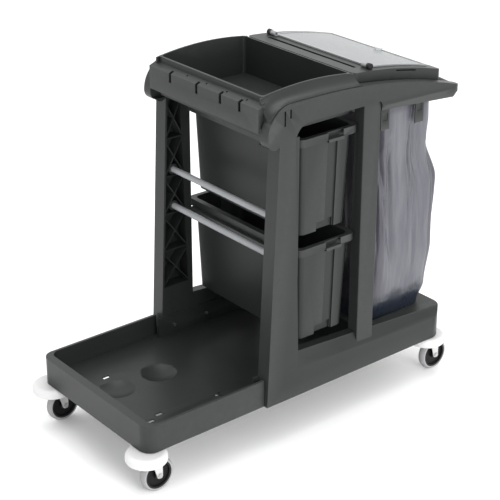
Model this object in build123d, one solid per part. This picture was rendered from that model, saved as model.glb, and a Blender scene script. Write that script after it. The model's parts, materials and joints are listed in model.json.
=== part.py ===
from build123d import *
import math
import os

# Housekeeping cart. Millimetres, +Z up, wheels on z = 0, +X towards the push handle, -Y is the cart's left.
# Pieces are drawn with x = 0 at the tray's front face, and export_piece moves them to the middle of the box.

# overall
tray_width = 510.0
frame_width = 536.0
frame_inner_width = 446.0
base_underside = 132.0
running_gap = 0.3
fit_gap = 0.05

# open front tray and rear deck
tray_rim_height = 213.0
tray_floor_height = 150.0
tray_corner_radius = 35.0
tray_side_wall = 8.0
tray_front_wall = 25.0
tray_shell = 4.0
deck_height = 226.0
deck_start = 790.0
base_end = 1086.0
base_end_radius = 50.0
dish_radius = 54.0
dish_depth = 12.0
dish_places = [(120.0, 55.0), (263.0, 57.0)]
drain_slot = (22.0, 12.0)
drain_slot_places = [(131.0, 127.0), (131.0, -127.0), (93.0, -143.0), (319.0, -146.0)]

# side frames
leg_foot_front = 395.0
leg_top_front = 432.0
leg_top_height = 889.0
leg_inner_rear = 514.0
window_front_low = 505.0
window_front_high = 486.0
window_top = 934.0
window_corner_radius = 46.0
frame_reveal = 18.0
frame_wall = 6.0
nose_radius = 28.0
nose_centre_x = 419.0
shoulder_radius = 85.0
rail_top_height = 996.0
rail_arc_start = 560.0
rail_arc_radius = 1842.0
rail_tip = 1094.0
rail_tip_radius = 20.0
rail_depth = 30.0
rail_rear_low_start = 903.0
rail_rear_low_end = 880.0
rail_chamfer = 18.0
sill_height_front = 262.0
sill_height_rear = 226.0
face_height_front = 216.0
face_height_rear = 196.0
lattice_rib = 4.0
lattice_bays = 5
lattice_foot = 306.0

# rear posts
post_front = 731.0
post_width = 61.0
post_outer = 262.0
post_wall = 5.0

# cross bars and tub runners
bar_radius = 9.0
bar_x = 452.0
bar_heights = {"upper": 672.0, "lower": 559.0}
bar_boss_radius = 15.0
bar_socket_depth = 22.0
runner_shelf = 24.0
runner_thickness = 3.0
runner_web = 18.0

# tubs
tub_rim_front = 518.0
tub_rim_width = 210.0
tub_rim_length = 496.0
tub_rim_height = 22.0
tub_rim_overhang = 14.0
tub_end_overhang = 12.0
tub_depth = 285.0
tub_wall = 3.0
tub_draft = 10.0
tub_corner_radius = 18.0
tub_channel_width = 34.0
tub_channel_depth = 5.0
tub_channel_offset = 22.0
tub_arch_offset = 14.0
tub_arch_width = 60.0
tub_arch_height = 26.0
tub_tops = {"upper": 878.0, "lower": 562.0}

# top tray
top_front = 412.0
top_rear = 716.0
top_width = 446.0
top_rim_height = 1015.0
top_rim_crown = 12.0
top_floor_height = 909.0
top_wall = 5.0
top_draft = 4.0
apron_x = 388.0
apron_width = 469.0
apron_bottom = 925.0
apron_wall = 5.0
ledge_front_height = 990.0
ledge_back_height = 1001.0
hook_places = [140.0, 23.0, -78.0, -158.0]
hook_notch = (12.0, 10.0, 26.0)
peg_hole_radius = 3.0
peg_hole_places = [81.0, -3.0, -89.0, -171.0]
cheek_outer = 262.0

# bag frame and lid
bag_frame_front = 724.0
bag_frame_rear = 1058.0
bag_frame_width = 450.0
bag_frame_bottom = 905.0
bag_frame_wall = 4.0
bag_frame_corner_radius = 16.0
crown_x = 650.0
crown_height = 1014.9
crown_radius = 1471.0
plate_thickness = 4.0
mouth_front = 824.0
mouth_rear = 1012.0
mouth_width = 376.0
card_slot_x = 769.0
card_slot = (12.0, 360.0)
seam_gap = (75.0, 3.5)
seam_gap_x = 918.0
hinge_x = 796.0
hinge_y = 200.0
knuckle_radius = 6.5
knuckle_length = 20.0
pin_radius = 3.0
pin_head_radius = 8.5
pin_head_length = 9.0
ear_thickness = 4.5
lid_front = 803.0
lid_rear = 1029.0
lid_width = 400.0
lid_thickness = 4.0
lid_corner_radius = 8.0
lid_recess = 1.2
lid_lift = 0.5
lid_knob_x = 1010.0
lid_knob_y = -18.0
lid_knob_radius = 14.0

# push handle
handle_radius = 15.0
handle_height = 902.0
handle_end_x = 1082.0
handle_bow = 22.0

# waste bag: height, front, rear, half width and corner radius of each level
bag_wall = 1.5
bag_levels = [
    (deck_height + running_gap, 806.0, 1056.0, 204.0, 50.0),
    (300.0, 800.0, 1084.0, 214.0, 70.0),
    (600.0, 797.0, 1106.0, 226.0, 90.0),
    (800.0, 800.0, 1074.0, 217.0, 70.0),
    (bag_frame_bottom - running_gap, 806.0, 1046.0, 212.0, 50.0),
]
clip_width = 33.0
clip_thickness = 3.5
clip_places = [(846.0, 826.0), (979.0, 819.0)]

# castors
wheel_radius = 50.0
tyre_width = 24.0
hub_radius = 41.0
hub_boss_length = 28.0
castor_trail = 30.0
castor_places = {"front_left": (15.0, -230.0), "front_right": (15.0, 230.0),
                 "rear_left": (1052.0, -230.0), "rear_right": (1052.0, 230.0)}
stem_radius = 6.0
stem_rise = 34.0
stem_collar_radius = 12.0
stem_collar_height = 2.0
stem_head_radius = 9.0
bumper_radius = 57.0
bumper_bottom = 102.5
bumper_edge = 13.0
bumper_lower_edge = 7.0
bumper_cavity_radius = 44.0
crown_top = 109.7
crown_thickness = 5.5
crown_plate_radius = 24.0
arm_thickness = 2.5
arm_inner = 14.5
arm_top_width = 40.0
arm_foot_radius = 9.0
axle_radius = 4.0

# fasteners
screw_radius = 2.5
screw_head_radius = 5.0
screw_head_length = 3.0
screw_length = 9.0
frame_screw_places = [440.0, 560.0, 700.0, 860.0, 1000.0]
frame_screw_height = 178.0

# half widths and the middle of the object's box, used everywhere below
frame_outer = frame_width / 2
frame_inner = frame_inner_width / 2
rail_inner = frame_outer - rail_depth
box_front = castor_places["front_left"][0] - bumper_radius
box_rear = castor_places["rear_left"][0] + castor_trail + wheel_radius
box_middle = (box_front + box_rear) / 2
post_inner = bag_frame_width / 2 + running_gap


def leg_front(height):
    """The leg's front edge leans back towards the top."""
    lean = (leg_top_front - leg_foot_front) / (leg_top_height - base_underside)
    return leg_foot_front + lean * (height - base_underside)


def window_front(height):
    """The window's front edge leans the other way."""
    lean = (window_front_high - window_front_low) / (leg_top_height - sill_height_front)
    return window_front_low + lean * (height - sill_height_front)


def rail_top(x):
    """The rail's top edge: level, then one large arc down to the tip."""
    past = max(0.0, x - rail_arc_start)
    return rail_top_height - rail_arc_radius + math.sqrt(rail_arc_radius ** 2 - past ** 2)


def crown(x):
    """The top surface of the bag frame's plate."""
    return crown_height - crown_radius + math.sqrt(crown_radius ** 2 - (x - crown_x) ** 2)


def sill(x):
    """The lower rail's top edge falls towards the rear."""
    fall = (sill_height_rear - sill_height_front) / (base_end - window_front_low)
    return sill_height_front + fall * (x - window_front_low)


def face_top(x):
    """Where the lower rail's upright face ends and its bevel starts."""
    fall = (face_height_rear - face_height_front) / (base_end - window_front_low)
    return face_height_front + fall * (x - window_front_low)


def block(low, high):
    """A box from its lowest to its highest corner."""
    size = [high[i] - low[i] for i in range(3)]
    middle = [(high[i] + low[i]) / 2 for i in range(3)]
    return Pos(*middle) * Box(*size)


def rod_y(radius, y_from, y_to, x, z):
    """A cylinder along Y."""
    return Pos(x, (y_from + y_to) / 2, z) * Rot(90, 0, 0) * Cylinder(radius, abs(y_to - y_from))


def rod_z(radius, z_from, z_to, x, y):
    """A cylinder along Z."""
    return Pos(x, y, (z_from + z_to) / 2) * Cylinder(radius, z_to - z_from)


def slab(outline, y_from, y_to):
    """An outline in x and z, extruded from y_from down to y_to."""
    face = make_face(Plane.XZ.offset(-y_from) * outline)
    return extrude(face, amount=y_from - y_to, dir=(0, -1, 0))


def rounded_slab(x_from, x_to, half_width, radius, z_from, z_to):
    """An upright block with four rounded corners, centred on y = 0."""
    plan = Rectangle(x_to - x_from, 2 * half_width)
    plan = fillet(plan.vertices(), radius)
    return Pos((x_from + x_to) / 2, 0, z_from) * extrude(plan, amount=z_to - z_from)


def mirrored(piece):
    """The same piece on the cart's right side."""
    return mirror(piece, about=Plane.XZ)


def largest_solid(shape):
    """The one solid of a piece, without slivers."""
    return max(shape.solids(), key=lambda solid: solid.volume)


def export_piece(piece, name):
    """Moves a piece to the middle of the box and writes its file."""
    export_step(Pos(-box_middle, 0, 0) * piece, "parts/" + name + ".step")


# The side frames and rear posts

def frame_outline(window_edge, rail_low):
    """The C of leg, top rail and lower rail, seen from the side."""
    nose_x, nose_z = nose_centre_x, rail_top_height - shoulder_radius
    front_of_nose = (nose_x - nose_radius, nose_z)
    shoulder_centre = (nose_x - nose_radius + shoulder_radius, nose_z)
    shoulder_mid = (shoulder_centre[0] - shoulder_radius * math.cos(math.pi / 4),
                    shoulder_centre[1] + shoulder_radius * math.sin(math.pi / 4))
    nose_low = (nose_x, nose_z - nose_radius)
    nose_mid = (nose_x - nose_radius * math.cos(math.pi / 4), nose_z - nose_radius * math.sin(math.pi / 4))
    tip_mid = (rail_arc_start + rail_tip) / 2
    corner = window_edge(window_top - window_corner_radius) + window_corner_radius
    corner_mid = (corner - window_corner_radius * math.cos(math.pi / 4),
                  window_top - window_corner_radius + window_corner_radius * math.sin(math.pi / 4))
    outline = Polyline((base_end, base_underside), (leg_foot_front, base_underside),
                       (leg_top_front, leg_top_height), nose_low)
    outline += ThreePointArc(nose_low, nose_mid, front_of_nose)
    outline += ThreePointArc(front_of_nose, shoulder_mid, (shoulder_centre[0], rail_top_height))
    outline += Line((shoulder_centre[0], rail_top_height), (rail_arc_start, rail_top_height))
    outline += ThreePointArc((rail_arc_start, rail_top_height), (tip_mid, rail_top(tip_mid)),
                             (rail_tip, rail_top(rail_tip)))
    outline += Polyline((rail_tip, rail_top(rail_tip)), (rail_tip - 14, rail_rear_low_end),
                        (post_front + post_width + 8, rail_low),
                        (post_front + post_width - 6, window_top), (corner, window_top))
    outline += ThreePointArc((corner, window_top), corner_mid,
                             (corner - window_corner_radius, window_top - window_corner_radius))
    outline += Polyline((corner - window_corner_radius, window_top - window_corner_radius),
                        (window_edge(sill_height_front), sill_height_front),
                        (base_end, sill_height_rear), (base_end, base_underside))
    return outline


def lattice_pocket():
    """The hollow in the leg's inner side."""
    return Polyline((leg_front(lattice_foot) + frame_wall, lattice_foot),
                    (leg_front(leg_top_height) + frame_wall, leg_top_height - 8),
                    (window_front(leg_top_height - 8) - frame_wall, leg_top_height - 8),
                    (window_front(lattice_foot) - frame_wall, lattice_foot),
                    (leg_front(lattice_foot) + frame_wall, lattice_foot))


def lattice_ribs():
    """Crossed ribs and level ribs that fill the leg's hollow."""
    hollow = slab(lattice_pocket(), -frame_inner - 2, -frame_outer + frame_wall)
    bay = (leg_top_height - 8 - lattice_foot) / lattice_bays
    ribs = []
    for i in range(lattice_bays):
        low = lattice_foot + i * bay
        middle_x = (leg_front(low + bay / 2) + window_front(low + bay / 2)) / 2
        width = window_front(low + bay / 2) - leg_front(low + bay / 2)
        angle = math.degrees(math.atan2(bay, width))
        for turn in (angle, -angle):
            ribs.append(Pos(middle_x, -frame_inner - 22, low + bay / 2) * Rot(0, turn, 0)
                        * Box(300, 60, lattice_rib))
        if i:
            ribs.append(Pos(middle_x, -frame_inner - 22, low) * Box(300, 60, lattice_rib))
    crossed = ribs[0]
    for rib in ribs[1:]:
        crossed += rib
    return crossed & hollow


def make_side_frame():
    """The left side frame: leg, curved top rail and lower rail in one moulding."""
    outline = frame_outline(window_front, rail_rear_low_start)
    outer = slab(outline, -frame_outer + frame_reveal, -frame_outer)
    # the leg and the lower rail are deeper than the top rail
    deep_zone = block((0, -300, 0), (post_front, 0, leg_top_height + 4)) + block((0, -300, 0), (1300, 0, 320))
    inner = slab(frame_outline(lambda height: leg_inner_rear, rail_rear_low_start),
                 -frame_inner, -frame_outer + frame_reveal) & deep_zone
    rail = slab(outline, -rail_inner, -frame_outer + frame_reveal) - deep_zone
    frame = outer + inner + rail
    # the rear corners of the lower rail and of the top rail are round in plan
    keep = rounded_slab(-200, base_end, frame_outer, base_end_radius, 0, 300)
    keep += rounded_slab(-200, rail_tip, frame_outer, rail_tip_radius, 300, 1100)
    frame &= keep
    # bevel along the lower rail's top edge
    rear_x, front_x = base_end + 20, window_front_low - 60
    bevel = []
    for x in (front_x, rear_x):
        bevel.append(Plane.YZ.offset(x) * Polyline(
            (-frame_outer - 1, face_top(x) - 2), (-frame_outer + frame_reveal, sill(x)),
            (-frame_outer + frame_reveal, sill(x) + 60), (-frame_outer - 1, sill(x) + 60),
            (-frame_outer - 1, face_top(x) - 2)))
    bevel_cut = loft([make_face(wire) for wire in bevel], ruled=True)
    bevel_cut &= block((window_front(sill_height_front), -400, 0), (1300, 400, 320))
    frame -= bevel_cut
    # the underside of the rail turns inwards behind the post
    chamfer_start = post_front + post_width + 2
    sections = []
    for x, depth in ((chamfer_start, rail_chamfer), (rail_tip + 6, rail_chamfer)):
        low = rail_rear_low_start - 10 if x == chamfer_start else rail_rear_low_end - 14
        high = window_top - 10 if x == chamfer_start else rail_top(rail_tip) - 4
        sections.append(make_face(Plane.YZ.offset(x) * Polyline(
            (-frame_outer - 1, high), (-frame_outer + depth, low), (-frame_outer - 1, low), (-frame_outer - 1, high))))
    frame -= loft(sections, ruled=True)
    # hollow leg with its lattice, and the sockets of the cross bars
    frame -= slab(lattice_pocket(), -frame_inner + 1, -frame_outer + frame_wall)
    frame += lattice_ribs()
    for height in bar_heights.values():
        frame += rod_y(bar_boss_radius, -frame_outer + frame_wall, -frame_inner, bar_x, height)
    for height in bar_heights.values():
        frame -= rod_y(bar_radius + fit_gap, -frame_inner - bar_socket_depth, -frame_inner + 1, bar_x, height)
    # the lower rail is hollow from below
    hollow = block((window_front_low, -frame_outer + frame_wall, base_underside - 1),
                   (base_end - base_end_radius - 32, -frame_inner - frame_wall, face_height_rear - 6))
    frame -= hollow
    # the foot of the rear castor
    x, y = castor_places["rear_left"]
    frame -= rod_z(stem_radius + fit_gap, base_underside - 1, base_underside + stem_rise, x, y)
    # two keyhole slots on the shoulder and the screw holes of the base
    for slot_x, low, high in ((449, 940, 981), (468, 958, 982)):
        frame -= block((slot_x - 2.5, -frame_outer - 1, low), (slot_x + 2.5, -frame_outer + 5, high))
    for screw_x in frame_screw_places:
        frame -= rod_y(screw_radius + fit_gap, -frame_inner - screw_length - 1, -frame_inner + 1,
                       screw_x, frame_screw_height)
    return largest_solid(frame)


def make_rear_post(frame):
    """The upright channel between the lower rail and the top rail."""
    low = (post_front, -post_outer, face_top(post_front))
    high = (post_front + post_width, -post_inner, window_top + 20)
    post = block(low, high)
    post = fillet(post.edges().filter_by(Axis.Z).group_by(Axis.Y)[0], 3)
    post -= block((post_front + post_wall, -post_outer + post_wall, sill_height_front + 10),
                  (post_front + post_width - post_wall, 0, window_top - 20))
    return largest_solid(post - frame)


# The base

def make_base():
    """Front tray, floor between the frames and raised rear deck in one moulding."""
    front = rounded_slab(0, 900, tray_width / 2, tray_corner_radius, base_underside, tray_rim_height)
    front &= block((-10, -300, 0), (leg_foot_front - running_gap, 300, 400))
    middle = block((leg_foot_front - 20, -frame_inner, base_underside), (deck_start, frame_inner, tray_floor_height))
    deck = block((deck_start, -frame_inner, base_underside), (base_end, frame_inner, deck_height))
    base = front + middle + deck
    # the tray's inside, with a rounded front
    inside = rounded_slab(tray_front_wall, 900, tray_width / 2 - tray_side_wall, tray_corner_radius - 8,
                          tray_floor_height, tray_rim_height + 10)
    inside &= block((0, -300, 0), (leg_foot_front + 1, 300, 400))
    base -= inside
    # upright sides behind the tray, against the frames
    for side in (-1, 1):
        wall = block((leg_foot_front - 12, min(side * frame_inner, side * (frame_inner - tray_shell)),
                      tray_floor_height - 1),
                     (deck_start + 1, max(side * frame_inner, side * (frame_inner - tray_shell)), tray_rim_height))
        base += wall
    # hollow from below, with the castor bosses left whole
    hollow = block((tray_shell, -tray_width / 2 + tray_shell, base_underside - 1),
                   (tray_front_wall - tray_shell, tray_width / 2 - tray_shell, tray_rim_height - tray_shell))
    under_floor = block((tray_front_wall, -frame_inner + tray_shell, base_underside - 1),
                        (deck_start - tray_shell, frame_inner - tray_shell, tray_floor_height - tray_shell))
    under_deck = block((deck_start + tray_shell, -frame_inner + tray_shell, base_underside - 1),
                       (base_end - tray_shell, frame_inner - tray_shell, deck_height - tray_shell))
    hollow += under_floor + under_deck
    for name in ("front_left", "front_right"):
        x, y = castor_places[name]
        side = math.copysign(1, y)
        edge = sorted((side * 190, side * 300))
        hollow -= block((-10, edge[0], 0), (tray_front_wall, edge[1], 400))
    base -= hollow
    # cross ribs under the floor
    for i in range(1, 5):
        x = tray_front_wall + i * (deck_start - tray_front_wall) / 5
        base += block((x - 2, -frame_inner + 1, base_underside + 4),
                      (x + 2, frame_inner - 1, tray_floor_height - 1))
    # two dished bottle rests, each a bowl in the floor with its own wall under it
    for x, y in dish_places:
        base += rod_z(dish_radius + 5, base_underside + 1, tray_floor_height, x, y)
        ball_radius = (dish_radius ** 2 + dish_depth ** 2) / (2 * dish_depth)
        ball = Pos(x, y, tray_floor_height - dish_depth + ball_radius) * Rot(90, 0, 0) * Sphere(ball_radius)
        base -= ball & rod_z(dish_radius + 2, base_underside, tray_floor_height + 0.4, x, y)
    for x, y in drain_slot_places:
        base -= block((x - drain_slot[0] / 2, y - drain_slot[1] / 2, base_underside - 1),
                      (x + drain_slot[0] / 2, y + drain_slot[1] / 2, tray_floor_height + 1))
    for name in ("front_left", "front_right"):
        x, y = castor_places[name]
        base -= rod_z(stem_radius + fit_gap, base_underside - 1, base_underside + stem_rise, x, y)
    for side in (-1, 1):
        for x in frame_screw_places:
            edge = sorted((side * (frame_inner + 1), side * (frame_inner - tray_shell - 1)))
            base -= rod_y(screw_radius + fit_gap, edge[0], edge[1], x, frame_screw_height)
    return largest_solid(base)


def make_frame_screws():
    """Screws through the base's sides into the side frames."""
    screws = []
    for side in (-1, 1):
        seat = frame_inner - tray_shell
        for x in frame_screw_places:
            shank = sorted((side * seat, side * (seat + screw_length)))
            head = sorted((side * seat, side * (seat - screw_head_length)))
            screw = rod_y(screw_radius, shank[0], shank[1], x, frame_screw_height)
            screw += rod_y(screw_head_radius, head[0], head[1], x, frame_screw_height)
            screws.append(screw)
    return Compound(children=[largest_solid(screw) for screw in screws])


# Cross bars, runners and tubs

def make_cross_bar(height):
    """A round bar held in the sockets of both legs."""
    half = frame_inner + bar_socket_depth - running_gap
    bar = rod_y(bar_radius, -half, half, bar_x, height)
    return chamfer(bar.edges(), 1.5)


def make_runner(top, rear):
    """An angle strip that carries one side of a tub's rim."""
    shelf_top = top - tub_rim_height - running_gap
    if rear:
        edge = tub_rim_front + tub_rim_width - 12
        half = post_inner
        web = (edge + runner_shelf - runner_thickness, edge + runner_shelf)
    else:
        edge = tub_rim_front + 12 - runner_shelf
        half = frame_inner
        web = (edge, edge + runner_thickness)
    runner = block((edge, -half, shelf_top - runner_thickness), (edge + runner_shelf, half, shelf_top))
    runner += block((web[0], -half, shelf_top - runner_web), (web[1], half, shelf_top))
    return runner


def tub_shell(front, rear, half, radius, depth, shrink, top):
    """A tapered block under a rounded rectangle, for a tub's outside or inside."""
    upper = Rectangle(rear - front, 2 * half)
    upper = fillet(upper.vertices(), radius)
    lower = Rectangle(rear - front - 2 * shrink, 2 * half - 2 * shrink)
    lower = fillet(lower.vertices(), radius)
    middle = (front + rear) / 2
    return loft([Pos(middle, 0, top) * upper, Pos(middle, 0, top - depth) * lower], ruled=True)


def tub_recesses(channel_x, half, top, grow):
    """Pressed channels in both ends and the hand arches at their foot, or the same with a wall round them."""
    lean = math.degrees(math.atan2(tub_draft, tub_depth))
    recesses = []
    for side in (-1, 1):
        edge = sorted((side * (half + 20), side * (half - tub_channel_depth - grow)))
        channel = block((channel_x - tub_channel_width / 2 - grow, edge[0], top - tub_depth - 20),
                        (channel_x + tub_channel_width / 2 + grow, edge[1], top - tub_rim_height - 12 + grow))
        recesses.append(channel.rotate(Axis((channel_x, side * half, top), (1, 0, 0)), side * -lean))
        foot = sorted((side * (half + 20), side * (half - 2 * tub_channel_depth - tub_draft - grow)))
        recesses.append(block((channel_x + tub_arch_offset - tub_arch_width - grow, foot[0], top - tub_depth - 20),
                              (channel_x + tub_arch_offset + grow, foot[1], top - tub_depth + tub_arch_height + grow)))
    return recesses[0] + recesses[1:]


def make_tub(top):
    """A deep sliding bin with a turned-down rim, grip recesses and pressed channels."""
    front = tub_rim_front + tub_rim_overhang
    rear = tub_rim_front + tub_rim_width - tub_rim_overhang
    half = tub_rim_length / 2 - tub_end_overhang
    channel_x = (front + rear) / 2 + tub_channel_offset
    body = tub_shell(front, rear, half, tub_corner_radius, tub_depth, tub_draft, top)
    body -= tub_recesses(channel_x, half, top, 0)
    inside = tub_shell(front + tub_wall, rear - tub_wall, half - tub_wall, tub_corner_radius - tub_wall,
                       tub_depth - tub_wall, tub_draft, top)
    inside -= tub_recesses(channel_x, half, top, tub_wall)
    # rim: a flat flange with a skirt
    rim = rounded_slab(tub_rim_front, tub_rim_front + tub_rim_width, tub_rim_length / 2, 22,
                       top - tub_rim_height, top)
    under_rim = rounded_slab(tub_rim_front + 2.5, tub_rim_front + tub_rim_width - 2.5,
                             tub_rim_length / 2 - 2.5, 19.5, top - tub_rim_height - 1, top - 3)
    rim -= under_rim - body
    tub = body + rim
    tub -= inside
    # grip recess in the middle of each end of the rim, with a ledge below it
    for side in (-1, 1):
        edge = sorted((side * (tub_rim_length / 2 + 1), side * (tub_rim_length / 2 - 6)))
        tub -= block((channel_x - 28, edge[0], top - tub_rim_height + 4), (channel_x + 26, edge[1], top + 1))
        lip = sorted((side * (tub_rim_length / 2 + 3), side * (tub_rim_length / 2 - 8)))
        tub += block((channel_x - 28, lip[0], top - tub_rim_height - 5), (channel_x + 28, lip[1], top - tub_rim_height + 4))
    return largest_solid(tub)


# The top tray

def rim_arc_z(x):
    """The crowned rim of the top tray."""
    half = (top_rear - top_front) / 2
    radius = (half ** 2 + top_rim_crown ** 2) / (2 * top_rim_crown)
    middle = (top_rear + top_front) / 2
    return top_rim_height + top_rim_crown - radius + math.sqrt(radius ** 2 - (x - middle) ** 2)


def make_cheek():
    """The concave side of the top tray that rolls over the side frame's rail."""
    sections = []
    for i in range(8):
        x = top_front - 8 + i * (bag_frame_front - running_gap - top_front + 8) / 7
        high = rim_arc_z(x) - 1
        low = rail_shoulder(x) - 3
        inner, outer = -top_width / 2, -cheek_outer
        mid = (inner - (inner - outer) * 0.36, low + (high - low) * 0.40)
        wire = Polyline((inner + 3, high), (inner + 3, low), (outer, low), (outer, low + 5))
        wire += ThreePointArc((outer, low + 5), mid, (inner - 2, high))
        wire += Line((inner - 2, high), (inner + 3, high))
        sections.append(make_face(Plane.YZ.offset(x) * wire))
    cheek = loft(sections)
    rail = slab(frame_outline(window_front, rail_rear_low_start), -top_width / 2 + 3, -frame_outer - 5)
    return cheek - Pos(0, 0, running_gap) * rail


def rail_shoulder(x):
    """The top of the rail, with its round shoulder at the front."""
    centre_x = nose_centre_x - nose_radius + shoulder_radius
    if x >= centre_x:
        return rail_top(x)
    rise = math.sqrt(max(0.0, shoulder_radius ** 2 - (centre_x - x) ** 2))
    return rail_top_height - shoulder_radius + rise


def make_top_tray():
    """The open tray on top, with its hook apron in front."""
    box = rounded_slab(top_front, top_rear, top_width / 2, 6, top_floor_height - 4, top_rim_height + top_rim_crown + 5)
    middle = (top_front + top_rear) / 2
    rim_start, rim_stop = top_front - 20, top_rear + 20
    rim = Polyline((rim_start, rim_arc_z(rim_start)), (rim_start, 700), (rim_stop, 700),
                   (rim_stop, rim_arc_z(rim_stop)))
    rim += ThreePointArc((rim_stop, rim_arc_z(rim_stop)), (middle, rim_arc_z(middle)),
                         (rim_start, rim_arc_z(rim_start)))
    box &= slab(rim, 300, -300)
    inside = tub_shell(top_front + top_wall, top_rear - top_wall, top_width / 2 - top_wall, 10,
                       top_rim_height + top_rim_crown + 5 - top_floor_height, top_draft,
                       top_rim_height + top_rim_crown + 5)
    # apron with a sloping ledge behind its top edge
    half = apron_width / 2
    apron = block((apron_x, -half, apron_bottom), (apron_x + apron_wall, half, ledge_front_height))
    ledge = Polyline((apron_x, ledge_front_height - 6), (apron_x, ledge_front_height),
                     (top_front + 2, ledge_back_height), (top_front + 2, ledge_back_height - 6),
                     (apron_x, ledge_front_height - 6))
    apron += slab(ledge, half, -half)
    for y in [half, -half]:
        end = sorted((y, y - math.copysign(apron_wall, y)))
        apron += block((apron_x, end[0], apron_bottom + 12), (top_front + 1, end[1], ledge_front_height - 1))
    # hook notches through the apron and the front of its ledge
    for y in hook_places:
        depth, width, height = hook_notch
        apron -= block((apron_x - 1, y - width / 2, ledge_front_height - height),
                       (apron_x + depth, y + width / 2, ledge_front_height + 12))
    for y in peg_hole_places:
        apron -= rod_z(peg_hole_radius, ledge_front_height - 20, ledge_back_height + 5, top_front - 9, y)
    tray = box + apron
    cheek = make_cheek()
    tray += cheek
    tray += mirrored(cheek)
    tray -= inside
    return largest_solid(tray)


# The bag frame, its lid and the bag

def crown_slab(low_offset, high_offset, x_from, x_to, half):
    """A curved plate that follows the bag frame's crown."""
    middle = (x_from + x_to) / 2
    lower = ThreePointArc((x_from, crown(x_from) + low_offset), (middle, crown(middle) + low_offset),
                          (x_to, crown(x_to) + low_offset))
    upper = ThreePointArc((x_to, crown(x_to) + high_offset), (middle, crown(middle) + high_offset),
                          (x_from, crown(x_from) + high_offset))
    outline = lower + Line(lower @ 1, upper @ 0) + upper + Line(upper @ 1, lower @ 0)
    return slab(outline, half, -half)


def make_bag_frame():
    """The box that carries the bag's mouth and the lid, with a card slot in its front ledge."""
    half = bag_frame_width / 2
    shell = rounded_slab(bag_frame_front, bag_frame_rear, half, bag_frame_corner_radius, bag_frame_bottom, 1100)
    below_crown = crown_slab(-300, 0, bag_frame_front - 10, bag_frame_rear + 10, half + 10)
    shell &= below_crown
    hollow = rounded_slab(bag_frame_front + bag_frame_wall, bag_frame_rear - bag_frame_wall,
                          half - bag_frame_wall, bag_frame_corner_radius - bag_frame_wall,
                          bag_frame_bottom - 1, 1100)
    hollow &= crown_slab(-300, -plate_thickness, bag_frame_front - 10, bag_frame_rear + 10, half + 10)
    frame = shell - hollow
    # the top tray's rear wall stands in front of the frame
    frame -= rounded_slab(mouth_front, mouth_rear, mouth_width / 2, 24, bag_frame_bottom - 1, 1100)
    frame -= block((card_slot_x - card_slot[0] / 2, -card_slot[1] / 2, 950),
                   (card_slot_x + card_slot[0] / 2, card_slot[1] / 2, 1100))
    # narrow seams under the plate's edges
    seam_top = -plate_thickness - 1
    seam = crown_slab(seam_top - seam_gap[1], seam_top, seam_gap_x - seam_gap[0] / 2,
                      seam_gap_x + seam_gap[0] / 2, half + 1)
    frame -= seam - block((0, -half + bag_frame_wall + 1, 0), (1300, half - bag_frame_wall - 1, 1100))
    # hinge ears
    axis_z = hinge_height()
    for side in (-1, 1):
        edge = sorted((side * (hinge_y + running_gap), side * (hinge_y + running_gap + ear_thickness)))
        ear = rod_y(knuckle_radius + 1.5, edge[0], edge[1], hinge_x, axis_z)
        ear += block((hinge_x - knuckle_radius - 1.5, edge[0], crown(hinge_x) - 2),
                     (hinge_x + knuckle_radius + 1.5, edge[1], axis_z))
        ear -= rod_y(pin_radius + fit_gap, edge[0] - 1, edge[1] + 1, hinge_x, axis_z)
        frame += ear
        # the plate is dished where the pin's round head stands
        seat = hinge_y + 2 * running_gap + ear_thickness
        head = sorted((side * (seat - fit_gap), side * (seat + pin_head_length + running_gap)))
        frame -= rod_y(pin_head_radius + running_gap, head[0], head[1], hinge_x, axis_z)
    return largest_solid(frame)


def hinge_height():
    """The lid's hinge axis stands just above the plate."""
    return crown(hinge_x) + lid_lift + knuckle_radius


def make_hinge_pins():
    """Two pins with round heads, pushed in from the sides."""
    pins = []
    for side in (-1, 1):
        seat = hinge_y + 2 * running_gap + ear_thickness
        shank = sorted((side * (hinge_y - knuckle_length + 2), side * seat))
        head = sorted((side * seat, side * (seat + pin_head_length)))
        pin = rod_y(pin_radius, shank[0], shank[1], hinge_x, hinge_height())
        pin += rod_y(pin_head_radius, head[0], head[1], hinge_x, hinge_height())
        pins.append(chamfer(pin.edges().filter_by(GeomType.CIRCLE).sort_by(
            lambda edge: -abs(edge.center().Y))[0], 1.5))
    return Compound(children=[largest_solid(pin) for pin in pins])


def make_lid_panel():
    """The translucent curved lid with its two hinge knuckles and a raised border."""
    panel = crown_slab(lid_lift, lid_lift + lid_thickness, lid_front - 20, lid_rear + 20, lid_width / 2 + 5)
    panel &= rounded_slab(lid_front, lid_rear, lid_width / 2, lid_corner_radius, 900, 1100)
    recess = crown_slab(lid_lift + lid_thickness - lid_recess, lid_lift + lid_thickness + 5,
                        lid_front + 9, lid_rear - 9, lid_width / 2 - 9)
    panel -= recess
    axis_z = hinge_height()
    for side in (-1, 1):
        edge = sorted((side * hinge_y, side * (hinge_y - knuckle_length)))
        knuckle = rod_y(knuckle_radius, edge[0], edge[1], hinge_x, axis_z)
        knuckle += block((hinge_x, edge[0], crown(hinge_x) + lid_lift),
                         (lid_front + 12, edge[1], crown(lid_front) + lid_lift + lid_thickness - 1))
        knuckle -= rod_y(pin_radius + fit_gap, edge[0] - 1, edge[1] + 1, hinge_x, axis_z)
        panel += knuckle
    panel -= on_lid(Cylinder(screw_radius, 30))
    return largest_solid(panel)


def on_lid(piece):
    """Moves a piece from the origin to the knob's seat, square to the curved lid."""
    slope = math.degrees(math.asin((lid_knob_x - crown_x) / crown_radius))
    seat = crown(lid_knob_x) + lid_lift + lid_thickness - lid_recess
    return Pos(lid_knob_x, lid_knob_y, seat) * Rot(0, slope, 0) * piece


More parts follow.
